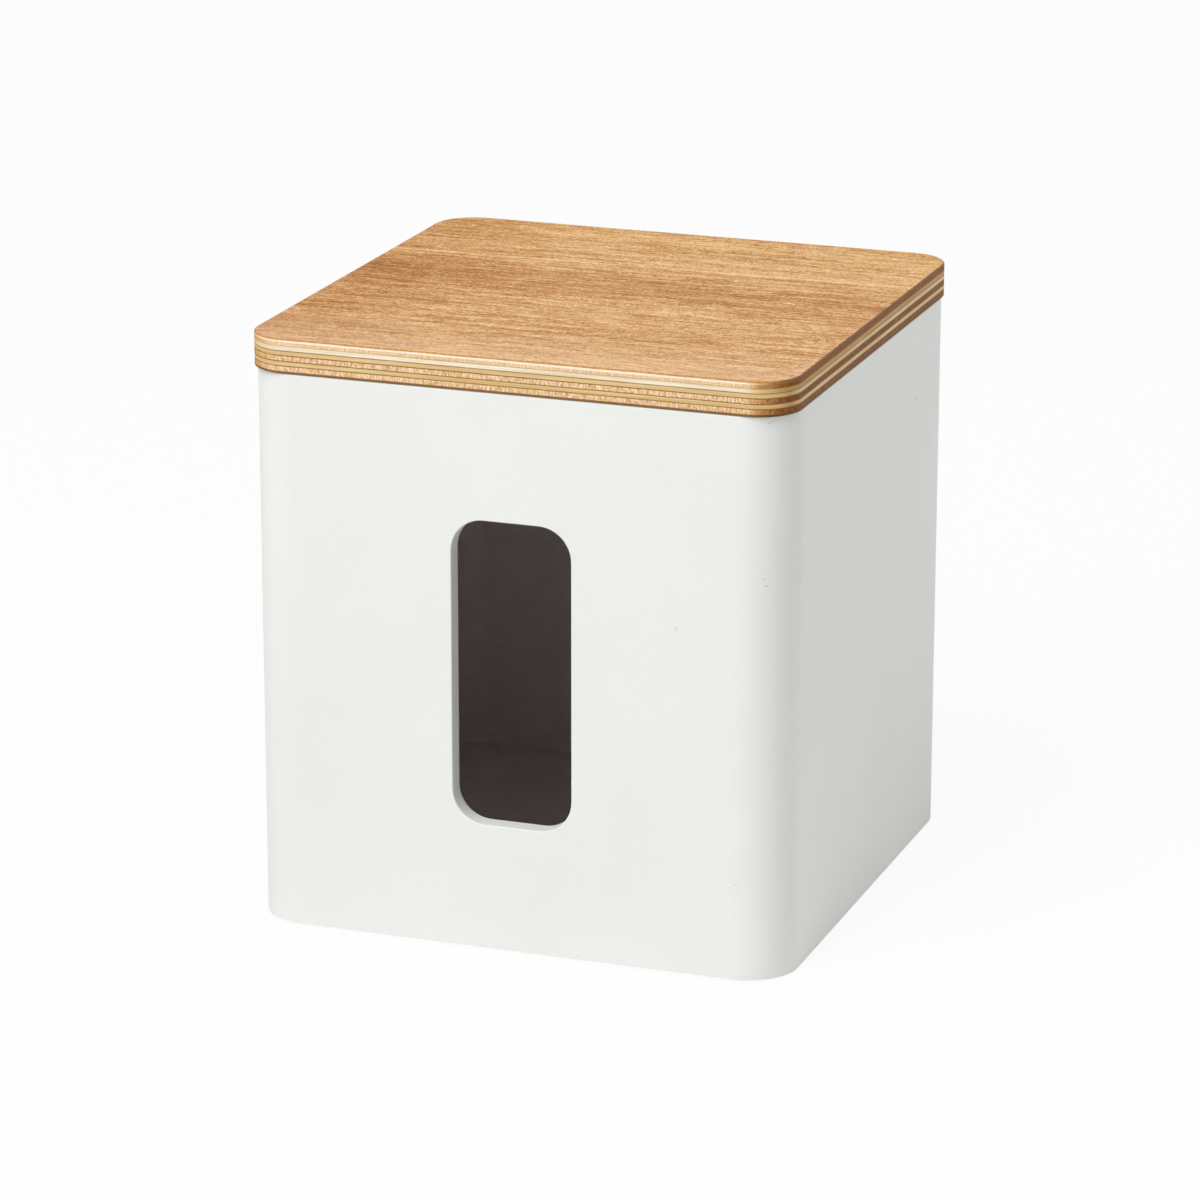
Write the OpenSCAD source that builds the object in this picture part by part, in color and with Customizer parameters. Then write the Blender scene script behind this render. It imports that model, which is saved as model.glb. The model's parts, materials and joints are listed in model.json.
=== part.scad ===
// Square cover for one roll of tissue: a white one-piece box with a tall paper slot in its front
// and a lift-off plywood lid. Millimetres, +Z up, the slot faces -Y.
// The origin is the middle of the footprint, on the surface that the box stands on.

/* [Box] */
// Width of the box across its front
box_w = 129.8; // [100:0.1:200]
// Depth of the box from front to back
box_d = 129.8; // [100:0.1:200]
// Height of the walls
box_h = 131.9; // [105:0.1:200]
// Thickness of the walls
wall_t = 4.5; // [3.5:0.1:6]
// Outer radius of the four upright corners
corner_r = 12; // [9:0.5:24]
// Rounding of the rim on which the lid lies
rim_r = 0.4; // [0.2:0.05:1]

/* [Paper slot] */
// Width of the slot between its straight sides
slot_w = 28.8; // [20:0.1:50]
// Height of the slot between its level ends
slot_h = 72.2; // [40:0.1:90]
// Radius of the slot's corners
slot_r = 7.8; // [3:0.1:9]
// Rounding of the slot's lip, outside and inside
slot_lip_r = 0.3; // [0.2:0.1:1.2]

/* [Base] */
// Thickness of the base panel
base_t = 3.5; // [2:0.1:6]
// How far the rebate for the base panel cuts into the walls
rebate_d = 2; // [1.2:0.1:2.5]
// How far the base panel lies up inside the walls
base_recess = 1; // [0.5:0.1:1]
// Gap between the base panel's edge and the rebate
base_gap = 0.1; // [0.05:0.05:0.5]

/* [Feet] */
// Diameter of a foot
foot_d = 12; // [8:0.5:20]
// Thickness of a foot, most of it up inside the recess
foot_t = 1.4; // [1.2:0.1:3]
// Rounding of a foot's lower edge
foot_edge_r = 0.5; // [0.1:0.1:1]
// Distance from the inner wall to the nearest point of a foot
foot_inset = 6; // [3:0.5:20]

/* [Lid] */
// How far the lid stands out past the walls
lid_overhang = 0.1; // [0:0.1:3]
// Radius of the lid's corners
lid_r = 10; // [5:0.5:24]
// Thickness of the face veneer on top
face_t = 0.6; // [0.5:0.05:1.2]
// Thickness of the plies 1, 2, 3 and 5, counted from the top
thin_ply_t = 1.1; // [0.8:0.05:2]
// Thickness of the plies 4 and 6
thick_ply_t = 1.3; // [0.8:0.05:2.5]
// Thickness of the veneer underneath
back_t = 0.5; // [0.4:0.05:1.2]
// Rounding of the lid's upper edge
face_edge_r = 0.45; // [0.2:0.05:0.45]
// Rounding of the lid's lower edge
back_edge_r = 0.25; // [0.1:0.05:0.35]

/* [Locating panel] */
// Thickness of the panel that holds the lid in place in the mouth
locator_t = 4; // [3:0.5:8]
// Gap between the locating panel and the inside of the walls
locator_gap = 0.8; // [0.4:0.1:1.2]
// Bevel round the panel's lower edge, which leads it into the mouth
locator_lead = 1; // [0.3:0.1:1.5]

/* [Screws] */
// Shank diameter of the four screws
screw_d = 3; // [2.5:0.1:3.5]
// Diameter of the countersunk head
screw_head_d = 5.6; // [5:0.1:7]
// Length of a screw from the face of its head to its tip
screw_l = 8; // [6:0.5:9]
// Length of the pointed tip
screw_tip_l = 1.2; // [0.8:0.1:2]
// Distance from the locating panel's edge to a screw's axis
screw_inset = 16; // [8:0.5:30]
// Gap round a screw in its hole
screw_gap = 0.1; // [0.05:0.05:0.2]
// Width of each arm of the cross recess in the head
recess_w = 0.8; // [0.5:0.1:1]
// Span of the cross recess
recess_span = 2.8; // [2:0.1:3]
// Depth of the cross recess
recess_depth = 1; // [0.5:0.1:1.2]

/* [Hidden] */
$fn = 96;

// Overrun of every cut past the face it breaks
cut_over = 1;
// Span that takes in every turned profile
turned_span = box_w + box_d + box_h;
// Diameter of the flat at a screw's point
screw_point_d = 0.6;

// Heights from the surface upwards
box_z = foot_t - base_recess;
base_z = foot_t;
lid_z = box_z + box_h;
locator_z = lid_z - locator_t;

// Inside of the walls, and the rebate cut round their lower edge
inner_w = box_w - 2 * wall_t;
inner_d = box_d - 2 * wall_t;
inner_r = corner_r - wall_t;
rebate_w = inner_w + 2 * rebate_d;
rebate_depth = inner_d + 2 * rebate_d;
rebate_r = inner_r + rebate_d;

// Outline of the lid, and the thickness of each ply from the top
lid_w = box_w + 2 * lid_overhang;
lid_d = box_d + 2 * lid_overhang;
ply_ts = [thin_ply_t, thin_ply_t, thin_ply_t, thick_ply_t, thin_ply_t, thick_ply_t];
ply_count = len(ply_ts);

// Outline of the locating panel
locator_w = inner_w - 2 * locator_gap;
locator_d = inner_d - 2 * locator_gap;
locator_r = inner_r - locator_gap;
lead = min(locator_lead, locator_r / 2);

// The flank of a countersunk head slopes at 45 degrees
screw_head_h = (screw_head_d - screw_d) / 2;

// Colours of the finishes
paint_white = [0.93, 0.93, 0.91];
board_beige = [0.90, 0.88, 0.86];
foot_grey = [0.72, 0.72, 0.71];
veneer_oak = [0.83, 0.65, 0.46];
ply_cream = [0.93, 0.88, 0.76];
ply_olive = [0.87, 0.76, 0.56];
ply_tan = [0.85, 0.68, 0.49];
back_brown = [0.47, 0.38, 0.27];
screw_steel = [0.66, 0.67, 0.68];

// Height of the lowest face of ply n above the top of the back veneer
function ply_lift(n) = n >= ply_count ? 0 : ply_ts[n] + ply_lift(n + 1);

// Plan with round corners
module round_plan(w, d, r) {
    square([w - 2 * r, d], center = true);
    square([w, d - 2 * r], center = true);
    for (x = [-1, 1], y = [-1, 1])
        translate([x * (w / 2 - r), y * (d / 2 - r)])
            circle(r);
}

// Straight stretch between two facing edges, drawn by the half profile given as a child
module straight_run(span, length) {
    $reach = span / 2;
    rotate([90, 0, 0])
        linear_extrude(height = length, center = true) {
            translate([span / 2, 0])
                children();
            mirror([1, 0])
                translate([span / 2, 0])
                    children();
        }
}

// Round panel or cutter whose rim follows the half profile given as a child
module turned_plan(r) {
    $reach = r + cut_over;
    rotate_extrude()
        intersection() {
            translate([r, 0])
                children();
            translate([0, -turned_span])
                square(2 * turned_span);
        }
}

// Panel or cutter with round corners whose edge follows the half profile given as a child.
// The profile has its edge at x = 0 and reaches in by $reach.
module swept_plan(w, d, r) {
    for (x = [-1, 1], y = [-1, 1])
        translate([x * (w / 2 - r), y * (d / 2 - r), 0])
            turned_plan(r)
                children();
    straight_run(w, d - 2 * r)
        children();
    rotate([0, 0, 90])
        straight_run(d, w - 2 * r)
            children();
}

// Half profile of a panel t thick with its upper edge rounded by e
module eased_edge(t, e) {
    difference() {
        translate([-$reach, 0])
            square([$reach, t]);
        translate([-e, t - e])
            difference() {
                square(e + cut_over);
                circle(e);
            }
    }
}

// Half profile of a panel t thick with its lower edge bevelled by c
module bevelled_edge(t, c) {
    polygon([[-$reach, 0], [-c, 0], [0, c], [0, t], [-$reach, t]]);
}

// Half profile of the cut through a wall t thick that leaves both of the wall's edges rounded by e
module lipped_cut(t, e) {
    difference() {
        translate([-$reach, -cut_over])
            square([$reach + e, t + 2 * cut_over]);
        translate([0, e])
            square([e + cut_over, t - 2 * e]);
        for (y = [e, t - e])
            translate([e, y])
                circle(e);
    }
}

// Through cut of the paper slot, at mid height of the front wall
module slot_cut() {
    translate([0, wall_t - box_d / 2, box_z + box_h / 2])
        rotate([90, 0, 0])
            swept_plan(slot_w, slot_h, slot_r)
                lipped_cut(wall_t, slot_lip_r);
}

module body_shell() {
    color(paint_white)
        difference() {
            translate([0, 0, box_z])
                swept_plan(box_w, box_d, corner_r)
                    eased_edge(box_h, rim_r);
            translate([0, 0, box_z])
                swept_plan(inner_w, inner_d, inner_r)
                    lipped_cut(box_h, rim_r);
            translate([0, 0, box_z - cut_over])
                linear_extrude(height = cut_over + base_recess + base_t)
                    round_plan(rebate_w, rebate_depth, rebate_r);
            slot_cut();
        }
}

module base_panel() {
    color(board_beige)
        translate([0, 0, base_z])
            linear_extrude(height = base_t)
                round_plan(rebate_w - 2 * base_gap, rebate_depth - 2 * base_gap, rebate_r - base_gap);
}

// Stick-on foot near one corner, x and y give the side that it is on
module foot(x, y) {
    foot_x = inner_w / 2 - foot_inset - foot_d / 2;
    foot_y = inner_d / 2 - foot_inset - foot_d / 2;
    color(foot_grey)
        translate([x * foot_x, y * foot_y, foot_t])
            mirror([0, 0, 1])
                turned_plan(foot_d / 2)
                    eased_edge(foot_t, foot_edge_r);
}

// Places of the four screws, at the level of the locating panel's underside
module at_screws() {
    for (x = [-1, 1], y = [-1, 1])
        translate([x * (locator_w / 2 - screw_inset), y * (locator_d / 2 - screw_inset), locator_z])
            children();
}

// Hole that a screw bites into, a little longer than the screw
module screw_bores() {
    at_screws()
        cylinder(h = screw_l + screw_gap, d = screw_d + 2 * screw_gap);
}

// Countersink that takes a screw's head
module screw_seat() {
    translate([0, 0, -cut_over])
        cylinder(h = cut_over, d = screw_head_d + 2 * screw_gap);
    cylinder(h = screw_head_h, d1 = screw_head_d + 2 * screw_gap, d2 = screw_d + 2 * screw_gap);
}

module face_veneer() {
    color(veneer_oak)
        translate([0, 0, lid_z + back_t + ply_lift(0)])
            swept_plan(lid_w, lid_d, lid_r)
                eased_edge(face_t, face_edge_r);
}

// One ply of the lid's board, n counts from the top
module ply(n) {
    color(n == 2 ? ply_cream : ply_ts[n - 1] == thick_ply_t || n == 1 ? ply_tan : ply_olive)
        difference() {
            translate([0, 0, lid_z + back_t + ply_lift(n)])
                linear_extrude(height = ply_ts[n - 1])
                    round_plan(lid_w, lid_d, lid_r);
            screw_bores();
        }
}

module back_veneer() {
    color(back_brown)
        difference() {
            translate([0, 0, lid_z + back_t])
                mirror([0, 0, 1])
                    swept_plan(lid_w, lid_d, lid_r)
                        eased_edge(back_t, back_edge_r);
            screw_bores();
        }
}

module lid_locator() {
    color(board_beige)
        difference() {
            translate([0, 0, locator_z])
                swept_plan(locator_w, locator_d, locator_r)
                    bevelled_edge(locator_t, lead);
            screw_bores();
            at_screws()
                screw_seat();
        }
}

module locator_screws() {
    color(screw_steel)
        at_screws()
            difference() {
                union() {
                    cylinder(h = screw_head_h, d1 = screw_head_d, d2 = screw_d);
                    cylinder(h = screw_l - screw_tip_l, d = screw_d);
                    translate([0, 0, screw_l - screw_tip_l])
                        cylinder(h = screw_tip_l, d1 = screw_d, d2 = screw_point_d);
                }
                for (turn = [0, 90])
                    rotate([0, 0, turn])
                        translate([-recess_span / 2, -recess_w / 2, -cut_over])
                            cube([recess_span, recess_w, cut_over + recess_depth]);
            }
}

body_shell();
base_panel();
foot(-1, -1);  // foot_front_left
foot(1, -1);  // foot_front_right
foot(-1, 1);  // foot_back_left
foot(1, 1);  // foot_back_right
face_veneer();
ply(1);  // ply_1
ply(2);  // ply_2
ply(3);  // ply_3
ply(4);  // ply_4
ply(5);  // ply_5
ply(6);  // ply_6
back_veneer();
lid_locator();
locator_screws();
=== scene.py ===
import json
import math
import bpy
from mathutils import Matrix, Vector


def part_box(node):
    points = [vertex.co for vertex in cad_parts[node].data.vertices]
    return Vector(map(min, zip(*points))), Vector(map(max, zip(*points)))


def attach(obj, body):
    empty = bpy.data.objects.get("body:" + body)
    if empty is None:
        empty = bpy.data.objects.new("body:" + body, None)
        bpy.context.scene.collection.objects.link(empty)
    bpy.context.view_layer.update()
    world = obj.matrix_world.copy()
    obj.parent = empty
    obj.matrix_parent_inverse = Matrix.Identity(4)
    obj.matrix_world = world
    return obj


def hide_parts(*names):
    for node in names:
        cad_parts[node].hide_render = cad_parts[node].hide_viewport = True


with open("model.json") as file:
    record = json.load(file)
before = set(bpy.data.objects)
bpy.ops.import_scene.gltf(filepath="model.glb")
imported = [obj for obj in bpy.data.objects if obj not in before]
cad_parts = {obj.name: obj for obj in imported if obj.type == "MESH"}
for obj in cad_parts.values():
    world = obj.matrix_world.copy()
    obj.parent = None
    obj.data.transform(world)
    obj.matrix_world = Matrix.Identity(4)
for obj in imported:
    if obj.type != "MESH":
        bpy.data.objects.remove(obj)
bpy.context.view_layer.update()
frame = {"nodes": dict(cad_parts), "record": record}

MM = 0.001

# Camera of the photograph: angles round the box, distance, and focal length in photograph pixels
CAM_TURN = 19.787
CAM_RISE = 17.102
CAM_ROLL = 0.041
CAM_DISTANCE = 1.2265
CAM_FOCAL_PX = 5177.2
CAM_AIM_HEIGHT = 0.070
CAM_SLIDE = (-0.0019, -0.00396)
CAM_CLIP = (0.01, 50.0)
PHOTO_PX = 1200
SENSOR_MM = 36.0
# Lamps: angle round the box from the front to the right, angle above it, and power
LAMPS = {
    "front_lamp": (-20.0, 30.0, 9.0),
    "overhead_lamp": (-20.0, 60.0, 29.6),
    "back_right_lamp": (150.0, 30.0, 13.2),
}
LAMP_SIZE = 1.2
LAMP_DISTANCE = 2.3
AIR_STRENGTH = 0.395
FLOOR_HALF = 4.0
# Share of plain white in the floor as the camera sees it: the rest is its own colour in the light, so that
# the box's shadow stays
FLOOR_WHITE = 0.91

# Colours, linear
PLAIN_WHITE = (1.0, 1.0, 1.0)
FLOOR_GREY = (0.80, 0.80, 0.80)
PAINT_WHITE = (0.870, 0.880, 0.846)
PAINT_SHADE = (0.835, 0.846, 0.815)
SPECK_GREY = (0.40, 0.40, 0.38)
MARK_GREY = (0.30, 0.31, 0.30)
BOARD_BEIGE = (0.884, 0.814, 0.787)
BOARD_FIBRE = (0.824, 0.752, 0.724)
GLUE_BROWN = (0.270, 0.115, 0.030)
FOOT_GREY = (0.42, 0.42, 0.41)
FOOT_GRAIN = (0.34, 0.34, 0.33)
ZINC_GREY = (0.62, 0.62, 0.60)
ZINC_CLOUD = (0.50, 0.50, 0.47)
VENEER_STOPS = ((0.0, (0.310, 0.105, 0.022)), (0.30, (0.462, 0.207, 0.060)), (0.5, (0.577, 0.300, 0.110)),
                (0.70, (0.670, 0.396, 0.170)), (1.0, (0.850, 0.590, 0.315)))
# Pale pink of the painted highlight towards the lid's front edge
VENEER_SHEEN = (0.800, 0.530, 0.350)
BACK_FACE = (0.205, 0.122, 0.056)
# Tints that the wood's colour is multiplied by, and the light that pale flecks add to it
VENEER_WARMTH = (1.0, 0.98, 0.90)
FRAY_TINT = (0.70, 0.56, 0.42)
FLECK_TINT = (0.74, 0.50, 0.29)
SIDE_GRAIN_TINT = (0.58, 0.46, 0.36)
LAYER_TINT = (0.80, 0.66, 0.46)
DRIFT_TINT = (0.88, 0.74, 0.56)
STRAND_TINT = (1.35, 1.30, 1.20)
PALE_FLECK_LIGHT = (0.30, 0.26, 0.20)

# Colours along the lid's edge, from the front, round the corner, to the side. The first number of each stop is
# the sine of the angle turned.
VENEER_EDGE = ((0.0, (0.640, 0.330, 0.095)), (0.5, (0.540, 0.275, 0.092)), (1.0, (0.265, 0.122, 0.050)))
BACK_EDGE = ((0.0, (0.225, 0.128, 0.052)), (0.5, (0.125, 0.065, 0.020)), (1.0, (0.160, 0.098, 0.052)))
# The pale line under the lid's top edge is a painted highlight: bright on the front, fading round the corners to the
# sides
PAINTED_HIGHLIGHT_EDGE = ((0.0, (0.960, 0.870, 0.690)), (0.26, (0.800, 0.560, 0.300)), (0.6, (0.400, 0.190, 0.070)),
            (1.0, (0.230, 0.115, 0.050)))
CROSS_EDGE = ((0.0, (0.925, 0.680, 0.420)), (0.12, (0.880, 0.610, 0.330)), (0.30, (0.600, 0.300, 0.095)),
              (0.55, (0.460, 0.235, 0.090)), (0.72, (0.345, 0.150, 0.042)), (0.88, (0.265, 0.108, 0.026)),
              (1.0, (0.295, 0.138, 0.052)))
LONG_EDGE = ((0.0, (0.790, 0.595, 0.305)), (0.30, (0.780, 0.560, 0.255)), (0.72, (0.760, 0.545, 0.260)),
             (0.88, (0.620, 0.425, 0.195)), (1.0, (0.810, 0.660, 0.420)))
CREAM_EDGE = ((0.0, (0.970, 0.900, 0.720)), (0.30, (0.810, 0.650, 0.350)), (0.55, (0.740, 0.570, 0.260)),
              (0.85, (0.590, 0.370, 0.140)), (1.0, (0.635, 0.400, 0.190)))
# On the left corners the colours change this much more slowly, up to this sine, and catch up after it
LEFT_TURN, LEFT_TURN_FROM = 0.30, 0.80
# For each ply: its edge colours, its brightness, how strong its flecks are, and how strong the glue lines
# at its upper and lower side are
PLY_FINISH = {
    "ply_1": (CROSS_EDGE, 1.05, 0.45, 0.0, 0.35),
    "ply_2": (CREAM_EDGE, 1.00, 0.0, 0.35, 0.75),
    "ply_3": (LONG_EDGE, 1.02, 0.0, 0.75, 0.90),
    "ply_4": (CROSS_EDGE, 1.00, 1.0, 0.90, 0.85),
    "ply_5": (LONG_EDGE, 1.01, 0.0, 0.85, 0.80),
    "ply_6": (CROSS_EDGE, 1.00, 0.9, 0.80, 0.70),
}
# Depths in mm from a sheet's side: where the glue line ends and where it is full, the same for the painted highlight,
# a pale line at the top of the first ply, and where the face veneer turns to the painted highlight at its lower side
GLUE_DEPTH = (0.12, 0.02)
HIGHLIGHT_PLY, HIGHLIGHT_DEPTH = "ply_1", (0.32, 0.12)
FACE_HIGHLIGHT_DEPTH = (0.30, 0.40)
# The lid's edge is what lies less than this inside its outline, in mm
EDGE_BAND = 0.30

# Windows round 0.5 through which a cloudy value is read, from hard to soft
CRISP, FIRM, SOFT, WIDE = (0.38, 0.62), (0.35, 0.65), (0.3, 0.7), (0.2, 0.8)
# The top veneer's grain, layer by layer: cycle along and across it in mm, detail, roughness, shift, and how
# strongly the layer shows
GRAIN = {
    "bands": ((150.0, 13.0), 2.0, 0.5, (3.7, 1.9), 0.22),
    "streaks": ((90.0, 1.7), 1.0, 0.5, (2.0, 4.4), 0.60),
    "strands": ((13.0, 1.4), 1.0, 0.5, (0.0, 7.3), 0.66),
    "dashes": ((5.0, 1.0), 1.0, 0.6, (0.0, 0.0), 0.56),
    "pores": ((1.8, 0.5), 1.0, 0.6, (5.1, 0.0), 0.7),
    "fibres": ((0.8, 0.35), 1.0, 0.6, (1.7, 0.0), 1.7),
    "hairs": ((3.2, 0.30), 2.0, 0.6, (9.1, 0.0), 1.45),
}
GRAIN_LEVEL = 0.60
# How far the grain sways and ripples sideways, in mm, and the cycles of both along and across it
SWAY, SWAY_CYCLE = 6.0, (72.0, 22.0)
RIPPLE, RIPPLE_CYCLE = 0.7, (14.0, 4.0)
# Fine dark seams and pale ones: their cycle, the cycle of their gaps, and how strongly they show. A seam runs
# where its cloud is this close to 0.5, and is broken where the cloud of its gaps is below this window.
DARK_SEAMS = (((42.0, 2.8), (9.0, 2.4)), ((22.0, 1.8), (5.0, 1.6)))
PALE_SEAMS = ((64.0, 3.5), (16.0, 3.0))
SEAM_DARKNESS, PALE_SEAM_LIGHT = -0.22, 0.14
SEAM_REACH, SEAM_GAPS = 0.045, (0.42, 0.58)
# Darker band: how far behind the middle, where it is full and where it has gone to both sides, and its darkness
HEART_AT, HEART_REACH, HEART_DARKNESS = 7.0, (4.0, 17.0), -0.16
# Long single lines: how far behind the middle, rise to the right, half width, start and end in mm, and how much
# lighter than the grain each is, or darker below zero
GRAIN_LINES = (
    (28.6, 0.022, 0.9, -80.0, 80.0, 0.30),
    (25.6, 0.030, 0.8, -12.0, 80.0, -0.20),
    (-39.5, 0.004, 0.7, -20.0, 80.0, -0.26),
    (-2.5, 0.010, 0.7, -66.0, -40.0, -0.30),
    (54.5, -0.010, 0.8, -66.0, -34.0, -0.20),
)
# Length of their soft ends in mm, and the share of the half width that is full
LINE_FADE, LINE_CORE = 9.0, 0.35
# Where the veneer changes over the lid, in mm: towards the back, the left and the front edge. Towards the front edge
# it turns paler and pinker, a painted highlight.
TO_BACK, TO_LEFT, TO_FRONT = (8.0, 60.0), (-20.0, -62.0), (-38.0, -62.0)
BACK_LIGHT, LEFT_DARKNESS, FRONT_SHEEN = 0.10, -0.20, 0.32

# Half width and corner radius of the lid, of the walls' outside and of their inside, in mm
LID_HALF, LID_CORNER = 65.0, 10.0
WALL_HALF, WALL_CORNER = 64.9, 12.0
INSIDE_HALF, INSIDE_CORNER = 60.4, 7.5
# The bare board reaches this far outside the walls' inside, in mm, and is this much rougher than the paint
INSIDE_REACH = 0.06
BOARD_ROUGHER = 0.18
# Small flaws all over the paint: cell in mm, the chance value that picks a cell and its limit, size in the
# cell, and how dark each is
PAINT_FLAWS = (((11.0, 11.0, 11.0), 0, 0.72, 0.018, 0.55), ((2.2, 2.2, 26.0), 1, 0.985, 0.045, 0.16))
# Small marks in the paint: middle and half size in mm, and how dark each is
PAINT_MARKS = (
    ((64.9, 35.0, 112.5), (0.6, 0.45, 0.70), 0.55),
    ((64.9, 25.4, 107.5), (0.6, 0.70, 0.50), 0.16),
    ((39.3, -64.9, 82.0), (0.30, 0.6, 0.75), 0.18),
    ((64.9, -43.3, 81.2), (0.6, 0.35, 0.60), 0.22),
    ((59.2, -63.1, 95.2), (0.32, 0.4, 0.25), 0.30),
    ((59.6, -62.9, 93.5), (0.40, 0.5, 0.30), 0.38),
    ((58.8, -63.4, 96.5), (0.25, 0.4, 0.22), 0.24),
)
# Fine scratch under the lid's corner: where it starts, bends and ends along the corner's arc, how high it is at
# its start and its bend, its half width with and without its soft side, and how dark it is at start and bend
SCRATCH_ARC = (7.2, 8.2, 11.4)
SCRATCH_RISE = (130.60, 131.07)
SCRATCH_WIDTH = (0.08, 0.16)
SCRATCH_DARKNESS = (0.60, 0.25)
SCRATCH_START, SCRATCH_FADE = 0.1, 0.6

# Pieces made by rule: steps round a corner, an eased edge, a bore and a round piece, and rings along a screw
CORNER_STEPS = 24
EASING_STEPS = 5
BORE_SIDES = 32
ROUND_SIDES = 48
SCREW_RINGS = 96
# Points closer than this are one, in metres
WELD = 1e-6
# An edge that turns more than this many degrees stays sharp
SHARP_TURN = 32.0
# Sizes in mm: the margin between a sheet's real edge and the outline that its faces are filled from, the easing
# of the edges, and the screw holes
MARGIN = 1.5
FACE_EASING, BACK_EASING, PLY_EASING = 0.45, 0.25, 0.05
FOOT_EASING, FOOT_TOP_EASING = 0.5, 0.05
BORE_DIAMETER, BORE_SPACING, BORE_TOP = 3.2, 87.2, 136.4
# Screw sizes in mm, as in the solids, with a thread cut into the shank
SCREW = {"head_diameter": 5.6, "shank_diameter": 3.0, "point_length": 1.2, "point_diameter": 0.6,
         "thread_pitch": 1.1, "thread_depth": 0.42, "recess_span": 2.8, "recess_width": 0.8, "recess_depth": 1.0}
SCREW_SEED = 7
# Inputs that every piece with an eased edge has
EASED = dict.fromkeys(("margin", "thickness", "upper_easing", "lower_easing"), float)
FEET = ("foot_front_left", "foot_front_right", "foot_back_left", "foot_back_right")
# Places of a colour mix's amount, its two colours and its result among the node's sockets
MIX_INPUTS, MIX_RESULT = (0, 6, 7), 2


class Wiring:
    """Nodes and sums in one tree: the finishes, the rules for pieces and the surround share them."""

    def __init__(self, tree):
        self.tree = tree

    def new(self, kind, **settings):
        node = self.tree.nodes.new(kind)
        for name, value in settings.items():
            setattr(node, name, value)
        return node

    def feed(self, socket, value):
        """Gives a socket another one's result, a colour, or any other value."""
        if isinstance(value, bpy.types.NodeSocket):
            self.tree.links.new(value, socket)
        elif isinstance(value, tuple) and len(value) == 3 and socket.type == "RGBA":
            socket.default_value = (*value, 1.0)
        else:
            socket.default_value = value

    def feed_all(self, sockets, values):
        for socket, value in zip(sockets, values):
            self.feed(socket, value)

    def vector(self, operation, a, b=None, scale=None):
        node = self.new("ShaderNodeVectorMath", operation=operation)
        self.feed(node.inputs[0], a)
        if b is not None:
            self.feed(node.inputs[1], b)
        if scale is not None:
            self.feed(node.inputs["Scale"], scale)
        return node.outputs["Value"] if operation == "LENGTH" else node.outputs["Vector"]

    def math(self, operation, a, b=0.0, c=0.0):
        node = self.new("ShaderNodeMath", operation=operation)
        self.feed_all(node.inputs, (a, b, c))
        return node.outputs[0]

    def total(self, first, *more):
        for value in more:
            first = self.math("ADD", first, value)
        return first

    def product(self, first, *more):
        for value in more:
            first = self.math("MULTIPLY", first, value)
        return first

    def less(self, a, b):
        return self.math("SUBTRACT", a, b)

    def apart(self, a, b):
        return self.math("ABSOLUTE", self.less(a, b))

    def span(self, value, low, high, to_low=0.0, to_high=1.0, smooth=False):
        """The value's place between low and high, carried over to the other two numbers and held there."""
        node = self.new("ShaderNodeMapRange", interpolation_type="SMOOTHSTEP" if smooth else "LINEAR", clamp=True)
        self.feed_all(node.inputs[:5], (value, low, high, to_low, to_high))
        return node.outputs[0]

    def parts(self, vector):
        node = self.new("ShaderNodeSeparateXYZ")
        self.feed(node.inputs[0], vector)
        return node.outputs

    def join(self, x, y, z):
        node = self.new("ShaderNodeCombineXYZ")
        self.feed_all(node.inputs, (x, y, z))
        return node.outputs[0]


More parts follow.
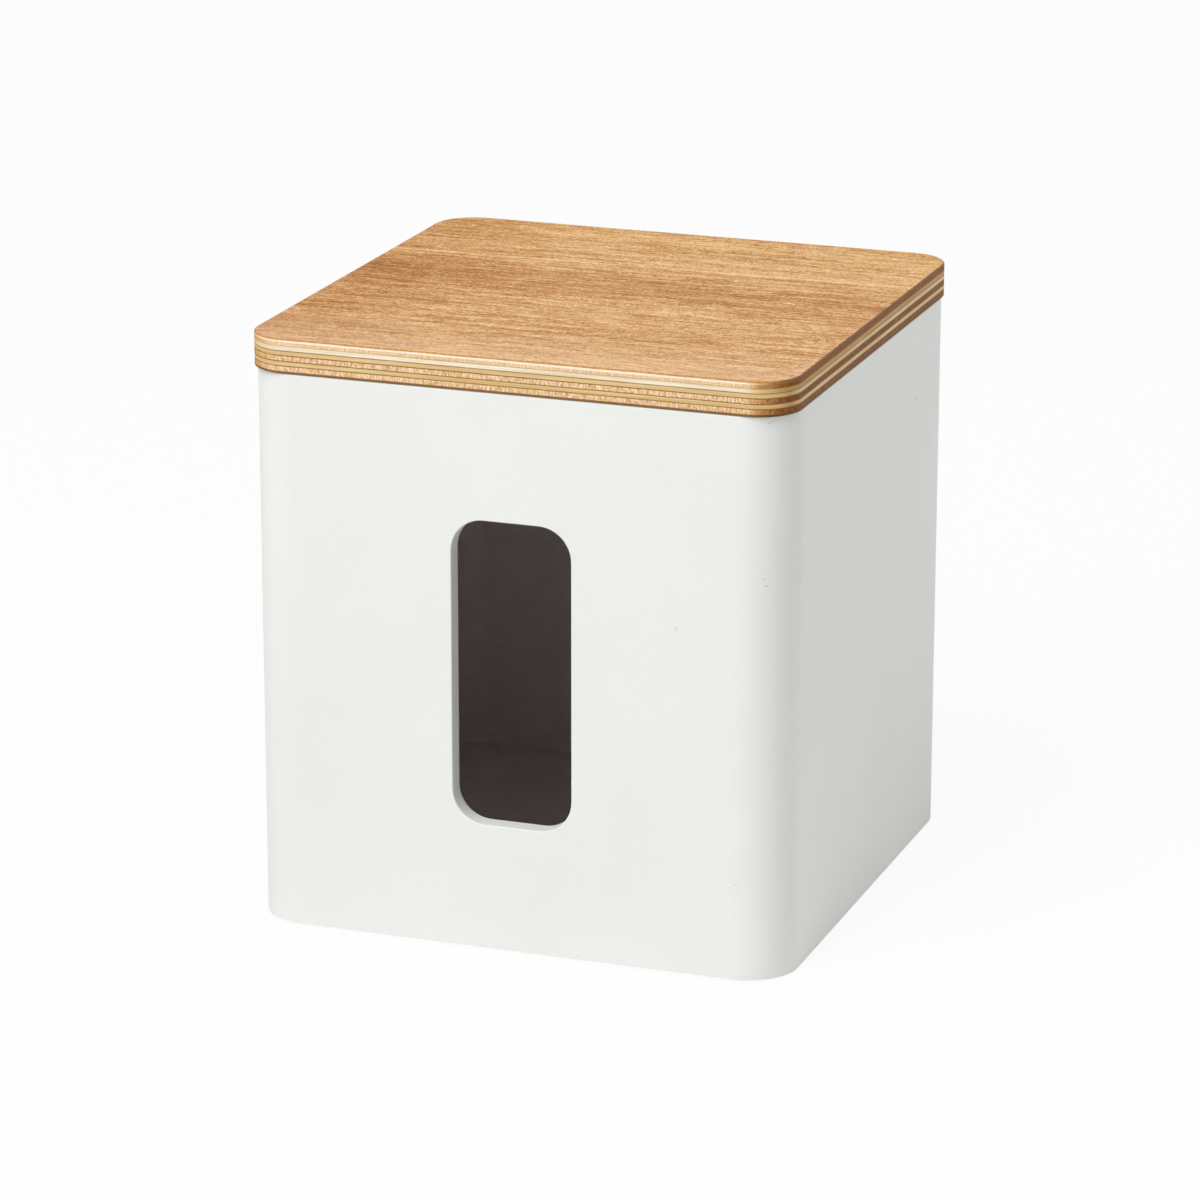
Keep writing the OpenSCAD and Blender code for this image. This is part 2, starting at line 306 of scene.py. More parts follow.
class Finish(Wiring):
    """A material for one finish of the box, built node by node on Object coordinates in millimetres."""

    def __init__(self, name, roughness, specular=0.5):
        self.material = bpy.data.materials.new(name)
        self.material.use_nodes = True
        super().__init__(self.material.node_tree)
        self.tree.nodes.clear()
        self.shader = self.new("ShaderNodeBsdfPrincipled")
        self.feed(self.new("ShaderNodeOutputMaterial").inputs["Surface"], self.shader.outputs[0])
        self.feed(self.shader.inputs["Roughness"], roughness)
        self.feed(self.shader.inputs["Specular IOR Level"], specular)
        self.mm = self.vector("SCALE", self.new("ShaderNodeTexCoord").outputs["Object"], scale=1 / MM)

    def stretched(self, cycle, at=None, shift=(0.0, 0.0, 0.0)):
        node = self.new("ShaderNodeMapping", vector_type="POINT")
        self.feed(node.inputs["Vector"], self.mm if at is None else at)
        self.feed(node.inputs["Scale"], tuple(1 / size for size in cycle))
        self.feed(node.inputs["Location"], shift)
        return node.outputs[0]

    def noise(self, cycle, detail=2.0, roughness=0.5, distortion=0.0, at=None, shift=(0.0, 0.0, 0.0)):
        """Cloudy value round 0.5, with one cycle in each number of millimetres given."""
        node = self.new("ShaderNodeTexNoise")
        self.feed(node.inputs["Scale"], 1.0)
        self.feed(node.inputs["Detail"], detail)
        self.feed(node.inputs["Roughness"], roughness)
        self.feed(node.inputs["Distortion"], distortion)
        self.feed(node.inputs["Vector"], self.stretched(cycle, at, shift))
        return node.outputs["Fac"]

    def cells(self, cycle):
        node = self.new("ShaderNodeTexVoronoi", feature="F1")
        self.feed(node.inputs["Scale"], 1.0)
        self.feed(node.inputs["Vector"], self.stretched(cycle))
        return node.outputs

    def blend(self, amount, a, b, kind="MIX"):
        node = self.new("ShaderNodeMix", data_type="RGBA", blend_type=kind)
        self.feed_all([node.inputs[place] for place in MIX_INPUTS], (amount, a, b))
        return node.outputs[MIX_RESULT]

    def tinted(self, amount, colour, tint):
        return self.blend(amount, colour, tint, "MULTIPLY")

    def ramp(self, value, stops):
        node = self.new("ShaderNodeValToRGB")
        elements = node.color_ramp.elements
        for element, (place, colour) in zip((elements[0], elements[1]), (stops[0], stops[-1])):
            element.position = place
            element.color = (*colour, 1.0)
        for place, colour in stops[1:-1]:
            elements.new(place).color = (*colour, 1.0)
        self.feed(node.inputs[0], value)
        return node.outputs["Color"]

    def centred(self, value, weight):
        """A cloudy value moved from round 0.5 to round zero, times a weight."""
        return self.product(self.less(value, 0.5), weight)

    def colour(self, socket):
        self.feed(self.shader.inputs["Base Color"], socket)

    def roughness(self, socket):
        self.feed(self.shader.inputs["Roughness"], socket)

    def bump(self, height, depth_mm, strength):
        node = self.new("ShaderNodeBump")
        self.feed(node.inputs["Strength"], strength)
        self.feed(node.inputs["Distance"], depth_mm * MM)
        self.feed(node.inputs["Height"], height)
        self.feed(self.shader.inputs["Normal"], node.outputs[0])


def outline_distance(f, half, radius):
    """Distance in mm outside a square outline with round corners, drawn round the upright axis."""
    x, y, _ = f.parts(f.mm)
    past_x = f.less(f.math("ABSOLUTE", x), half - radius)
    past_y = f.less(f.math("ABSOLUTE", y), half - radius)
    outside = f.vector("LENGTH", f.join(f.math("MAXIMUM", past_x, 0.0), f.math("MAXIMUM", past_y, 0.0), 0.0))
    inside = f.math("MINIMUM", f.math("MAXIMUM", past_x, past_y), 0.0)
    return f.less(f.total(outside, inside), radius)


def lid_edge(f):
    """Mask of a sheet's edge, as against its upper and lower face."""
    return f.math("GREATER_THAN", outline_distance(f, LID_HALF, LID_CORNER), -EDGE_BAND)


def turned(f):
    """Sine of the angle turned round the lid's corner: 0 on the front and back edges, 1 on the sides. The left
    corners keep the front's colours for longer."""
    x = f.parts(f.mm)[0]
    past = f.less(f.math("ABSOLUTE", x), LID_HALF - LID_CORNER)
    turn = f.math("DIVIDE", f.math("MAXIMUM", past, 0.0), LID_CORNER)
    caught_up = f.span(turn, LEFT_TURN_FROM, 1.0, 0.0, 1.0 - LEFT_TURN, smooth=True)
    late = f.total(f.product(turn, LEFT_TURN), caught_up)
    on_left = f.math("LESS_THAN", x, 0.0)
    return f.total(turn, f.product(on_left, f.less(late, turn)))


def pale_board(f):
    """Colour and fibre of the bare board inside the box."""
    fibre = f.noise((6.0, 1.1, 1.1), 4.0, 0.6, 0.4)
    cloud = f.noise((26.0, 26.0, 26.0), 2.0)
    tone = f.total(0.5, f.centred(fibre, 1.4), f.centred(cloud, 1.2))
    return f.blend(f.span(tone, *WIDE), BOARD_FIBRE, BOARD_BEIGE), fibre


def corner_scratch(f):
    """Mask of one fine curved scratch round the walls' front right corner, dark at its start."""
    x, y, z = f.parts(f.mm)
    middle = WALL_HALF - WALL_CORNER
    arc = f.product(f.math("ARCTAN2", f.less(x, middle), f.less(-middle, y)), WALL_CORNER)
    start, bend, stop = SCRATCH_ARC
    height = f.span(arc, start, bend, *SCRATCH_RISE, smooth=True)
    line = f.span(f.apart(z, height), *SCRATCH_WIDTH, 1.0, 0.0)
    begun = f.span(arc, start - SCRATCH_START, start)
    lasting = f.span(arc, bend + SCRATCH_FADE, stop, 1.0, 0.0)
    return f.product(line, f.product(begun, lasting), f.span(arc, start, bend, *SCRATCH_DARKNESS))


def painted_shell():
    """Matt white paint outside, slot and rim included, and bare board inside."""
    f = Finish("matt_white_paint", 0.6, 0.35)
    broad = f.noise((34.0, 34.0, 46.0), 3.0, 0.55)
    fine = f.noise((1.7, 1.7, 1.7), 3.0, 0.6)
    white = f.blend(f.span(broad, *FIRM, 0.0, 0.55), PAINT_WHITE, PAINT_SHADE)
    white = f.blend(f.span(fine, *SOFT, 0.0, 0.22), white, PAINT_SHADE)
    for cell, pick, limit, size, darkness in PAINT_FLAWS:
        flaw = f.cells(cell)
        rare = f.math("GREATER_THAN", f.parts(flaw["Color"])[pick], limit)
        there = f.product(f.math("LESS_THAN", flaw["Distance"], size), rare)
        white = f.blend(f.product(there, darkness), white, SPECK_GREY)
    for middle, half_size, darkness in PAINT_MARKS:
        away = f.vector("LENGTH", f.vector("DIVIDE", f.vector("SUBTRACT", f.mm, middle), half_size))
        white = f.blend(f.span(away, 0.5, 1.0, darkness, 0.0), white, MARK_GREY)
    white = f.blend(corner_scratch(f), white, MARK_GREY)
    inside = f.math("LESS_THAN", outline_distance(f, INSIDE_HALF, INSIDE_CORNER), INSIDE_REACH)
    board, fibre = pale_board(f)
    f.colour(f.blend(inside, white, board))
    f.roughness(f.total(f.product(inside, BOARD_ROUGHER), f.span(fine, *SOFT, 0.54, 0.66)))
    peel = f.total(f.noise((0.8, 0.8, 0.8), 2.0), f.product(f.noise((6.0, 6.0, 6.0), 2.0), 1.5))
    f.bump(f.blend(inside, peel, fibre), 0.02, 0.6)
    return f.material


def bare_board():
    f = Finish("bare_board", 0.8, 0.2)
    board, fibre = pale_board(f)
    f.colour(board)
    f.roughness(f.span(fibre, *SOFT, 0.72, 0.86))
    f.bump(fibre, 0.05, 0.6)
    return f.material


def grain(f, place, cycle, detail=2.0, roughness=0.5, shift=(0.0, 0.0)):
    """Cloudy value of the veneer's grain: its cycles run along and across the grain."""
    along, across = cycle
    return f.noise((along, across, across), detail, roughness, 0.0, place, (*shift, 0.0))


def grain_line(f, along, across, at, rise, half_width, start, stop):
    """Mask of one long line of the grain, at a distance from the middle, that rises to the right."""
    middle = f.total(f.product(along, rise), at)
    line = f.span(f.apart(across, middle), half_width * LINE_CORE, half_width, 1.0, 0.0, smooth=True)
    ends = f.product(f.span(along, start, start + LINE_FADE), f.span(along, stop, stop - LINE_FADE))
    return f.product(line, ends)


def thin_lines(f, place, cycle, gap_cycle):
    """Mask of fine lines of the grain, broken where a second cloud is low."""
    near = f.apart(grain(f, place, cycle, 1.0, 0.5, (3.3, 8.8)), 0.5)
    there = f.span(grain(f, place, gap_cycle, 2.0, 0.6, (6.2, 1.4)), *SEAM_GAPS)
    return f.product(f.span(near, 0.0, SEAM_REACH, 1.0, 0.0), there)


def face_veneer():
    """Fine-grained top veneer, its grain from side to side, with a darker eased edge."""
    f = Finish("face_veneer_oiled", 0.62, 0.15)
    x, y, z = f.parts(f.mm)
    across = f.total(y, f.centred(grain(f, f.mm, SWAY_CYCLE), SWAY), f.centred(grain(f, f.mm, RIPPLE_CYCLE), RIPPLE))
    place = f.join(x, across, z)
    clouds, shown = {}, []
    for name, (*look, weight) in GRAIN.items():
        clouds[name] = grain(f, place, *look)
        shown.append(f.centred(clouds[name], weight))
    seams = f.total(*(thin_lines(f, place, *cycles) for cycles in DARK_SEAMS))
    blotch = grain(f, place, (20.0, 8.0), 2.0, 0.6, (0.0, 2.0))
    heart = f.product(f.span(f.apart(across, HEART_AT), *HEART_REACH, 1.0, 0.0, smooth=True),
                      f.span(blotch, 0.32, 0.62, 0.55, 1.25))
    lines = f.total(*(f.product(grain_line(f, x, y, *line), weight) for *line, weight in GRAIN_LINES))
    tone = f.total(GRAIN_LEVEL, *shown, f.product(seams, SEAM_DARKNESS),
                   f.product(thin_lines(f, place, *PALE_SEAMS), PALE_SEAM_LIGHT), f.product(heart, HEART_DARKNESS),
                   f.span(y, *TO_BACK, 0.0, BACK_LIGHT), f.span(x, *TO_LEFT, 0.0, LEFT_DARKNESS), lines)
    wood = f.ramp(tone, VENEER_STOPS)
    # Painted highlight: the top turns paler and pinker towards the front edge
    wood = f.blend(f.span(y, *TO_FRONT, 0.0, FRONT_SHEEN), wood, VENEER_SHEEN)
    wood = f.tinted(f.span(y, *TO_BACK), wood, VENEER_WARMTH)
    turn = turned(f)
    frayed = f.noise((1.1, 1.1, 0.5), 3.0, 0.7)
    rim = f.tinted(f.span(frayed, *CRISP, 0.0, 0.85), f.ramp(turn, VENEER_EDGE), FRAY_TINT)
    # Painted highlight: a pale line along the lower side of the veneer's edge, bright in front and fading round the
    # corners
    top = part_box("face_veneer")[1][2] / MM
    wander = f.centred(f.noise((9.0, 9.0, 1.0), 2.0), 0.2)
    painted_highlight = f.span(f.total(z, wander), *(top - depth for depth in FACE_HIGHLIGHT_DEPTH))
    rim = f.blend(painted_highlight, rim, f.ramp(turn, PAINTED_HIGHLIGHT_EDGE))
    f.colour(f.blend(lid_edge(f), wood, rim))
    f.roughness(f.span(tone, *WIDE, 0.68, 0.56))
    f.bump(f.total(clouds["dashes"], clouds["pores"], clouds["hairs"]), 0.05, 0.5)
    return f.material


def ply_edge(node, stops, brightness, fleck_depth, glue_above, glue_below):
    """One ply of the board: cross plies show upright flecks in front, long plies show fine layers."""
    f = Finish(node + "_sanded", 0.62, 0.1)
    low, high = (corner[2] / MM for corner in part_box(node))
    z = f.parts(f.mm)[2]
    below_top, above_foot = f.less(high, z), f.less(z, low)
    turn = turned(f)
    wood = f.ramp(turn, stops)
    drift = f.noise((9.0, 9.0, 2.0), 3.0, 0.6)
    layers = f.noise((24.0, 24.0, 0.34), 2.0, 0.5)
    flecks = f.noise((0.42, 0.42, 1.2), 3.0, 0.65, 0.3)
    if fleck_depth:
        wood = f.tinted(f.span(flecks, 0.50, 0.36, 0.0, 0.95 * fleck_depth), wood, FLECK_TINT)
        in_front = f.span(turn, 0.15, 0.60, fleck_depth, 0.25 * fleck_depth)
        wood = f.blend(f.product(f.span(flecks, 0.54, 0.66), in_front), wood, PALE_FLECK_LIGHT, "ADD")
        side_grain = f.noise((0.40, 5.0, 0.34), 3.0, 0.65, 0.2)
        wood = f.tinted(f.span(side_grain, 0.40, 0.62, 0.0, 0.5), wood, SIDE_GRAIN_TINT)
    else:
        wood = f.tinted(f.span(layers, *CRISP, 0.55, 0.0), wood, LAYER_TINT)
    wood = f.tinted(f.span(drift, *FIRM, 0.0, 0.35), wood, DRIFT_TINT)
    wood = f.tinted(1.0, wood, (brightness, brightness, brightness))
    # Painted highlight: a pale line along the top of the first ply, bright in front and fading round the corners
    if node == HIGHLIGHT_PLY:
        wander = f.centred(f.noise((11.0, 11.0, 1.0), 2.0), 0.3)
        wood = f.blend(f.span(f.less(below_top, wander), *HIGHLIGHT_DEPTH), wood, f.ramp(turn, PAINTED_HIGHLIGHT_EDGE))
    wander = f.product(f.noise((5.0, 5.0, 1.0), 2.0, 0.6), 0.10)
    for depth, strength in ((below_top, glue_above), (above_foot, glue_below)):
        if strength:
            wood = f.blend(f.span(f.less(depth, wander), *GLUE_DEPTH, 0.0, strength), wood, GLUE_BROWN)
    f.colour(wood)
    f.roughness(f.span(flecks, *SOFT, 0.58, 0.7))
    f.bump(f.total(flecks, layers), 0.03, 0.6)
    return f.material


def back_veneer():
    """The last sheet: a dark sanded edge, and a brown face underneath."""
    f = Finish("back_veneer_brown", 0.65, 0.1)
    strands = f.noise((40.0, 1.4, 1.4), 4.0, 0.6, 0.5)
    wood = f.blend(lid_edge(f), BACK_FACE, f.ramp(turned(f), BACK_EDGE))
    f.colour(f.tinted(f.span(strands, *SOFT, 0.0, 0.6), wood, STRAND_TINT))
    f.bump(strands, 0.04, 0.5)
    return f.material


def foot_pad():
    f = Finish("soft_foot_pad", 0.62, 0.35)
    grit = f.noise((0.5, 0.5, 0.5), 3.0, 0.6)
    f.colour(f.blend(f.span(grit, *SOFT, 0.0, 0.35), FOOT_GREY, FOOT_GRAIN))
    f.bump(grit, 0.03, 0.5)
    return f.material


def zinc():
    f = Finish("zinc_plate", 0.32)
    f.feed(f.shader.inputs["Metallic"], 1.0)
    cloud = f.noise((0.8, 0.8, 0.8), 3.0, 0.6)
    f.colour(f.blend(f.span(cloud, *SOFT, 0.0, 0.6), ZINC_GREY, ZINC_CLOUD))
    f.roughness(f.span(cloud, *SOFT, 0.26, 0.42))
    return f.material


def dress(node, material):
    mesh = frame["nodes"][node].data
    mesh.materials.clear()
    mesh.materials.append(material)


class Rule(Wiring):
    """A Geometry Nodes tree that works out a piece from named sizes, in metres."""

    kinds = {float: "NodeSocketFloat", int: "NodeSocketInt", bool: "NodeSocketBool"}

    def __init__(self, name, **sizes):
        super().__init__(bpy.data.node_groups.new(name, "GeometryNodeTree"))
        face = self.tree.interface
        face.new_socket("Geometry", in_out="OUTPUT", socket_type="NodeSocketGeometry")
        self.identifiers = {}
        for key, kind in sizes.items():
            label = key.replace("_", " ").capitalize()
            socket = face.new_socket(label, in_out="INPUT", socket_type=self.kinds.get(kind, kind))
            self.identifiers[key] = socket.identifier
        self.inputs = self.new("NodeGroupInput").outputs
        self.result = self.new("NodeGroupOutput").inputs[0]

    def given(self, key):
        return self.inputs[list(self.identifiers).index(key)]

    def half(self, value):
        return self.product(value, 0.5)

    def node(self, kind, *values, **settings):
        """One node: its values go to its inputs in their order, and None leaves an input as it is."""
        node = self.new(kind, **settings)
        for socket, value in zip([s for s in node.inputs if s.enabled], values):
            if value is not None:
                self.feed(socket, value)
        return node.outputs[0]

    def joined(self, *parts):
        node = self.new("GeometryNodeJoinGeometry")
        for part in reversed(parts):
            self.feed(node.inputs[0], part)
        return node.outputs[0]

    def moved(self, geometry, place):
        return self.node("GeometryNodeSetPosition", geometry, None, None, place)

    def shaped(self, geometry, places):
        return self.node("GeometryNodeSetPosition", geometry, None, places)

    def cut(self, geometry, tool):
        return self.node("GeometryNodeMeshBoolean", geometry, tool, operation="DIFFERENCE", solver="EXACT")

    def either(self, kind, choice, when_false, when_true):
        return self.node("GeometryNodeSwitch", choice, when_false, when_true, input_type=kind)

    def at_corners(self, geometry, spacing, height, turn=None):
        """Four copies, at the corners of a square round the middle."""
        points = self.node("GeometryNodeMeshGrid", spacing, spacing, 2, 2)
        points = self.moved(points, self.join(0.0, 0.0, height))
        return self.node("GeometryNodeInstanceOnPoints", points, None, geometry, None, None, turn)

    def finish(self, geometry, material):
        """Real mesh in its material, smooth but for the edges that turn sharply."""
        smooth = self.node("GeometryNodeSetShadeSmooth", geometry, None, True, domain="FACE")
        turn = self.node("GeometryNodeInputMeshEdgeAngle")
        sharp = self.math("GREATER_THAN", turn, math.radians(SHARP_TURN))
        creased = self.node("GeometryNodeSetShadeSmooth", smooth, sharp, False, domain="EDGE")
        real = self.node("GeometryNodeRealizeInstances", creased)
        self.feed(self.result, self.node("GeometryNodeSetMaterial", real, None, material))

    def make(self, name, body, slot, replaced, **sizes):
        """The finished piece as a plain mesh, which rides on a body and stands for CAD nodes."""
        piece = bpy.data.objects.new(name, bpy.data.meshes.new(name + "_start"))
        bpy.context.scene.collection.objects.link(piece)
        rule = piece.modifiers.new(self.tree.name, "NODES")
        rule.node_group = self.tree
        for key, value in sizes.items():
            rule[self.identifiers[key]] = value
        seen = bpy.context.evaluated_depsgraph_get()
        plain = bpy.data.meshes.new_from_object(piece.evaluated_get(seen), depsgraph=seen)
        piece.modifiers.remove(rule)
        start, piece.data = piece.data, plain
        bpy.data.meshes.remove(start)
        plain.name = name
        while plain.materials[0] is None:
            plain.materials.pop(index=0)
        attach(piece, body)
        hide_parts(*replaced)


def eased_edge_rule():
    """A closed flat outline becomes a solid sheet: its edge profile runs along the outline, and both faces are
    filled. The outline lies inside the real edge by the margin."""
    r = Rule("eased_edge", outline="NodeSocketGeometry", **EASED)
    margin, thickness, outline = r.given("margin"), r.given("thickness"), r.given("outline")
    # Corners 0 to 3 of the profile: 1 and 2 lie on the real edge, 0 and 3 on the outline, and 2 and 3 are upper
    corner, between, reach = r.node("GeometryNodeInputIndex"), 1.5, 0.6
    on_edge = r.math("COMPARE", corner, between, reach)
    upper = r.math("GREATER_THAN", corner, between)
    corners = r.node("GeometryNodeMeshLine", 4, None, None, (0.0, 0.0, 0.0))
    corners = r.shaped(corners, r.join(r.product(on_edge, margin), r.product(upper, thickness, -1.0), 0.0))
    easing = r.either("FLOAT", upper, r.given("lower_easing"), r.given("upper_easing"))
    profile = r.node("GeometryNodeFilletCurve", r.node("GeometryNodeMeshToCurve", corners), EASING_STEPS,
                     r.product(on_edge, easing), mode="POLY")
    edge = r.node("GeometryNodeFlipFaces", r.node("GeometryNodeCurveToMesh", outline, profile))
    face = r.node("GeometryNodeFillCurve", outline, mode="NGONS")
    top = r.moved(face, r.join(0.0, 0.0, thickness))
    bottom = r.node("GeometryNodeFlipFaces", face)
    r.feed(r.result, r.node("GeometryNodeMergeByDistance", r.joined(edge, top, bottom), None, WELD))
    return r


def with_eased_edge(r, eased_edge, outline):
    group = r.new("GeometryNodeGroup", node_tree=eased_edge.tree)
    r.feed_all(group.inputs, (outline, *(r.given(key) for key in EASED)))
    return group.outputs[0]


def board_sheet_rule(eased_edge):
    """One sheet of the lid's board: a square with round corners, with its share of the four screw holes."""
    r = Rule("board_sheet", width=float, corner_radius=float, **EASED, underside=float, bored=bool,
             bore_diameter=float, bore_spacing=float, bore_top=float, material="NodeSocketMaterial")
    margin, underside = r.given("margin"), r.given("underside")
    side = r.less(r.given("width"), r.product(margin, 2.0))
    square = r.node("GeometryNodeCurvePrimitiveQuadrilateral", side, side, mode="RECTANGLE")
    round_by = r.less(r.given("corner_radius"), margin)
    outline = r.node("GeometryNodeFilletCurve", square, CORNER_STEPS, round_by, mode="POLY")
    sheet = r.moved(with_eased_edge(r, eased_edge, outline), r.join(0.0, 0.0, underside))
    bore_foot = r.less(underside, margin)
    length = r.less(r.given("bore_top"), bore_foot)
    bore = r.node("GeometryNodeMeshCylinder", BORE_SIDES, 1, 1, r.half(r.given("bore_diameter")), length)
    bores = r.at_corners(bore, r.given("bore_spacing"), r.total(bore_foot, r.half(length)))
    cut = r.cut(sheet, r.node("GeometryNodeRealizeInstances", bores))
    r.finish(r.either("GEOMETRY", r.given("bored"), sheet, cut), r.given("material"))
    return r


def foot_pads_rule(eased_edge):
    """Four round stick-on pads with a rounded lower edge."""
    r = Rule("foot_pads", diameter=float, **EASED, spacing=float, material="NodeSocketMaterial")
    radius = r.less(r.half(r.given("diameter")), r.given("margin"))
    ring = r.node("GeometryNodeCurvePrimitiveCircle", ROUND_SIDES, radius, mode="RADIUS")
    pads = r.at_corners(with_eased_edge(r, eased_edge, ring), r.given("spacing"), 0.0)
    r.finish(pads, r.given("material"))
    return r


def screws_rule():
    """Four countersunk wood screws, heads down: a column of rings whose width follows the head, the thread and
    the point, with a cross cut into the head. Each is turned by chance."""
    r = Rule("wood_screws", spacing=float, head_level=float, length=float, **dict.fromkeys(SCREW, float), seed=int,
             material="NodeSocketMaterial")
    length, head, shank = r.given("length"), r.given("head_diameter"), r.given("shank_diameter")
    column = r.node("GeometryNodeMeshCylinder", ROUND_SIDES, SCREW_RINGS, 1, 1.0, length)
    x, y, z = r.parts(r.node("GeometryNodeInputPosition"))
    up = r.total(z, r.half(length))
    head_height = r.half(r.less(head, shank))
    cone = r.less(r.half(head), up)
    turns = r.less(r.math("DIVIDE", up, r.given("thread_pitch")), r.math("DIVIDE", r.math("ARCTAN2", y, x), math.tau))
    valley = r.less(1.0, r.product(r.math("PINGPONG", turns, 0.5), 2.0))
    cut_in = r.span(up, head_height, r.total(head_height, r.given("thread_pitch")))
    shaft = r.less(r.half(shank), r.product(valley, r.given("thread_depth"), cut_in))
    point_level = r.less(length, r.given("point_length"))
    taper = r.span(up, point_level, length, 1.0, r.math("DIVIDE", r.given("point_diameter"), shank))
    radius = r.either("FLOAT", r.math("LESS_THAN", up, head_height), r.product(shaft, taper), cone)
    screw = r.shaped(column, r.join(r.product(x, radius), r.product(y, radius), up))
    span, width = r.given("recess_span"), r.given("recess_width")
    depth = r.product(r.given("recess_depth"), 2.0)
    for arm in (r.join(span, width, depth), r.join(width, span, depth)):
        screw = r.cut(screw, r.node("GeometryNodeMeshCube", arm))
    chance = r.node("FunctionNodeRandomValue", (0.0, 0.0, 0.0), (0.0, 0.0, math.tau), None, r.given("seed"),
                    data_type="FLOAT_VECTOR")
    r.finish(r.at_corners(screw, r.given("spacing"), r.given("head_level"), chance), r.given("material"))
    return r


def directions(turn, rise):
    """Right, up and back of a camera or lamp that faces the box, from its angles round and above it."""
    turn, rise = math.radians(turn), math.radians(rise)
    back = (math.sin(turn) * math.cos(rise), -math.cos(turn) * math.cos(rise), math.sin(rise))
    right = (math.cos(turn), math.sin(turn), 0.0)
    up = (back[1] * right[2] - back[2] * right[1], back[2] * right[0] - back[0] * right[2],
          back[0] * right[1] - back[1] * right[0])
    return right, up, back


def put(name, data, right, up, back, spot):
    thing = bpy.data.objects.new(name, data)
    bpy.context.scene.collection.objects.link(thing)
    thing.matrix_world = Matrix([*zip(right, up, back, spot), (0.0, 0.0, 0.0, 1.0)])
    return thing


def place_camera():
    flat_right, straight_up, back = directions(CAM_TURN, CAM_RISE)
    roll = math.radians(CAM_ROLL)
    right = [math.cos(roll) * r + math.sin(roll) * u for r, u in zip(flat_right, straight_up)]
    up = [math.cos(roll) * u - math.sin(roll) * r for r, u in zip(flat_right, straight_up)]
    aim = (0.0, 0.0, CAM_AIM_HEIGHT)
    spot = [a + b * CAM_DISTANCE + r * CAM_SLIDE[0] + u * CAM_SLIDE[1] for a, b, r, u in zip(aim, back, right, up)]
    data = bpy.data.cameras.new("photograph_view")
    data.sensor_width = SENSOR_MM
    data.lens = CAM_FOCAL_PX / PHOTO_PX * SENSOR_MM
    data.clip_start, data.clip_end = CAM_CLIP
    bpy.context.scene.camera = put("photograph_view", data, right, up, back, spot)


def soft_lamp(name, turn, rise, power):
    """Large square lamp at an angle round the box, counted from the front to the right, and above it."""
    right, up, back = directions(turn, rise)
    data = bpy.data.lights.new(name, "AREA")
    data.shape = "SQUARE"
    data.size = LAMP_SIZE
    data.energy = power
    spot = (back[0] * LAMP_DISTANCE, back[1] * LAMP_DISTANCE, back[2] * LAMP_DISTANCE + CAM_AIM_HEIGHT)
    put(name, data, right, up, back, spot)


def white_where_seen(owner, plain_kind, plain, white_kind, output_kind, share):
    """Look of the air or the floor: plain for the light, with a share of white where the camera sees it, also
    in a mirror or through something."""
    owner.use_nodes = True
    w = Wiring(owner.node_tree)
    w.tree.nodes.clear()
    own, white = w.new(plain_kind), w.new(white_kind)
    for name, value in plain.items():
        w.feed(own.inputs[name], value)
    w.feed(white.inputs["Color"], PLAIN_WHITE)
    path = w.new("ShaderNodeLightPath").outputs
    seen = w.math("MAXIMUM", path["Is Camera Ray"], path["Is Glossy Ray"])
    seen = w.math("MAXIMUM", seen, path["Is Transmission Ray"])
    mix = w.new("ShaderNodeMixShader")
    w.feed_all(mix.inputs, (w.product(seen, share), own.outputs[0], white.outputs[0]))
    w.feed(w.new(output_kind).inputs["Surface"], mix.outputs[0])


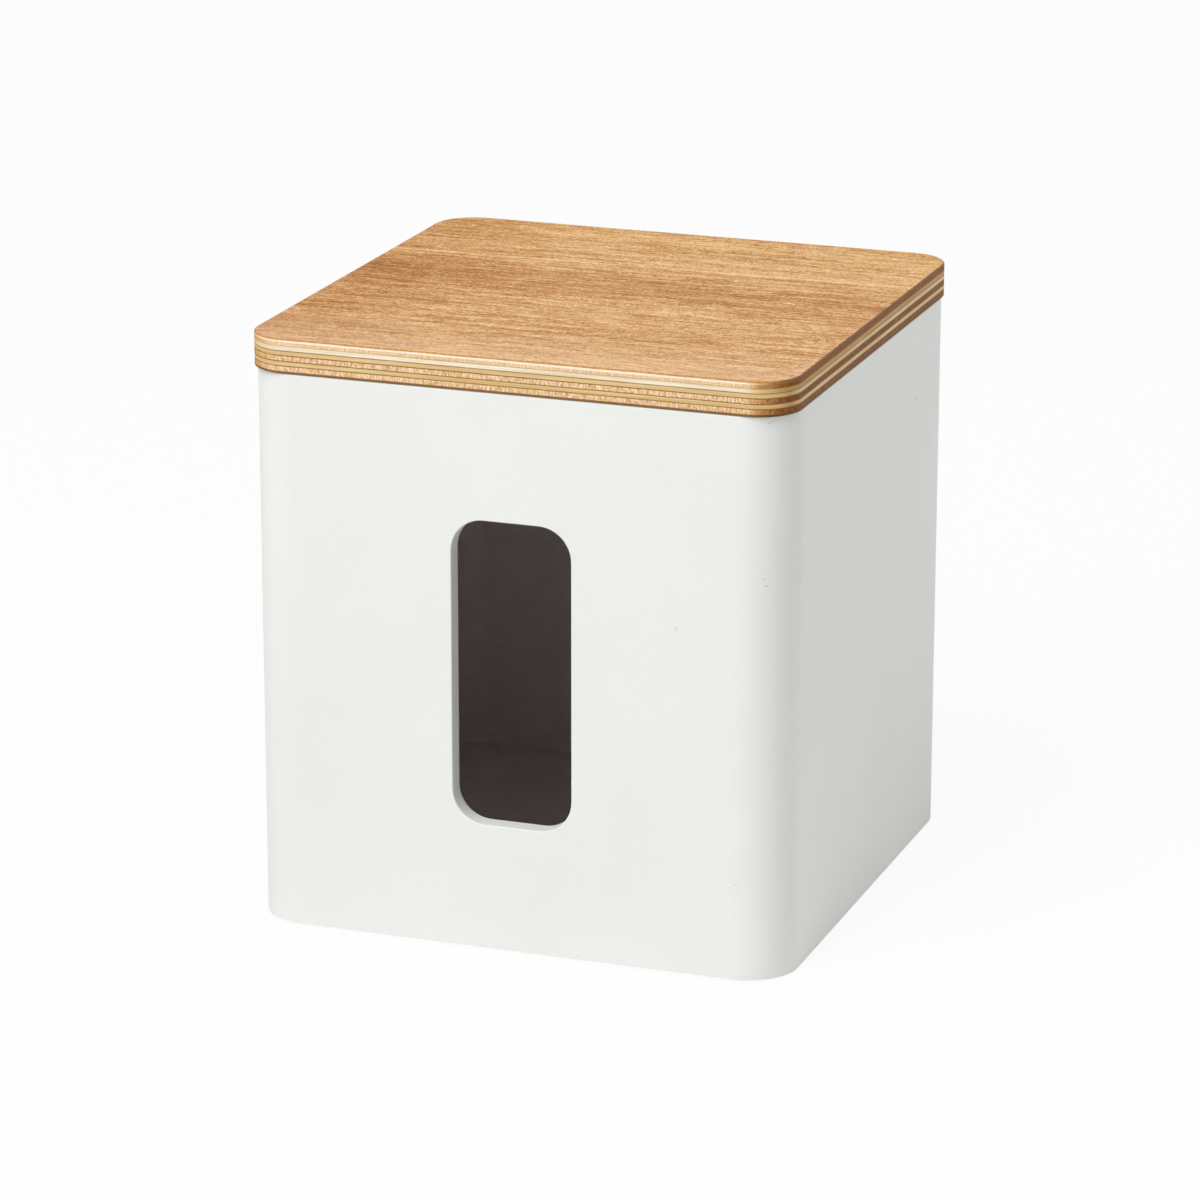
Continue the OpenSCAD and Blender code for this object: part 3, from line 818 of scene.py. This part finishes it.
def surround():
    scene = bpy.context.scene
    scene.view_settings.view_transform = "Standard"
    scene.world = bpy.data.worlds.new("studio_air")
    white_where_seen(scene.world, "ShaderNodeBackground", {"Color": PLAIN_WHITE, "Strength": AIR_STRENGTH},
                     "ShaderNodeBackground", "ShaderNodeOutputWorld", 1.0)
    mesh = bpy.data.meshes.new("pale_floor")
    corners = [(x * FLOOR_HALF, y * FLOOR_HALF, 0.0) for x, y in ((-1, -1), (1, -1), (1, 1), (-1, 1))]
    mesh.from_pydata(corners, [], [(0, 1, 2, 3)])
    floor = bpy.data.objects.new("pale_floor", mesh)
    scene.collection.objects.link(floor)
    material = bpy.data.materials.new("pale_floor")
    white_where_seen(material, "ShaderNodeBsdfDiffuse", {"Color": FLOOR_GREY}, "ShaderNodeEmission",
                     "ShaderNodeOutputMaterial", FLOOR_WHITE)
    mesh.materials.append(material)


def sheet(rule, node, slot, material, upper_easing, lower_easing):
    """One sheet of the lid's board, in the place and thickness of its CAD node."""
    low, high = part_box(node)
    rule.make(
        node + "_sheet", "lid", slot, [node], width=high[0] - low[0], corner_radius=LID_CORNER * MM,
        margin=MARGIN * MM, thickness=high[2] - low[2], upper_easing=upper_easing * MM,
        lower_easing=lower_easing * MM, underside=low[2], bored=low[2] < BORE_TOP * MM,
        bore_diameter=BORE_DIAMETER * MM, bore_spacing=BORE_SPACING * MM, bore_top=BORE_TOP * MM, material=material)


place_camera()
surround()
for name, light in LAMPS.items():
    soft_lamp(name, *light)

dress("body_shell", painted_shell())
board = bare_board()
for node in ("base_panel", "lid_locator"):
    dress(node, board)

slots = {part["node"]: part["material_slot"] for part in frame["record"]["subparts"]}
eased_edge = eased_edge_rule()
board_sheet = board_sheet_rule(eased_edge)
sheet(board_sheet, "face_veneer", slots["face_veneer"], face_veneer(), FACE_EASING, PLY_EASING)
for node, look in PLY_FINISH.items():
    sheet(board_sheet, node, slots[node], ply_edge(node, *look), PLY_EASING, PLY_EASING)
sheet(board_sheet, "back_veneer", slots["back_veneer"], back_veneer(), PLY_EASING, BACK_EASING)

low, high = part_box(FEET[-1])
foot_pads_rule(eased_edge).make(
    "foot_pads", "box", slots[FEET[0]], FEET, diameter=high[0] - low[0], margin=MARGIN * MM,
    thickness=high[2] - low[2], upper_easing=FOOT_TOP_EASING * MM, lower_easing=FOOT_EASING * MM,
    spacing=high[0] + low[0], material=foot_pad())

low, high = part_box("locator_screws")
screws_rule().make(
    "wood_screws", "lid", slots["locator_screws"], ["locator_screws"], spacing=BORE_SPACING * MM, head_level=low[2],
    length=high[2] - low[2], seed=SCREW_SEED, material=zinc(), **{key: size * MM for key, size in SCREW.items()})
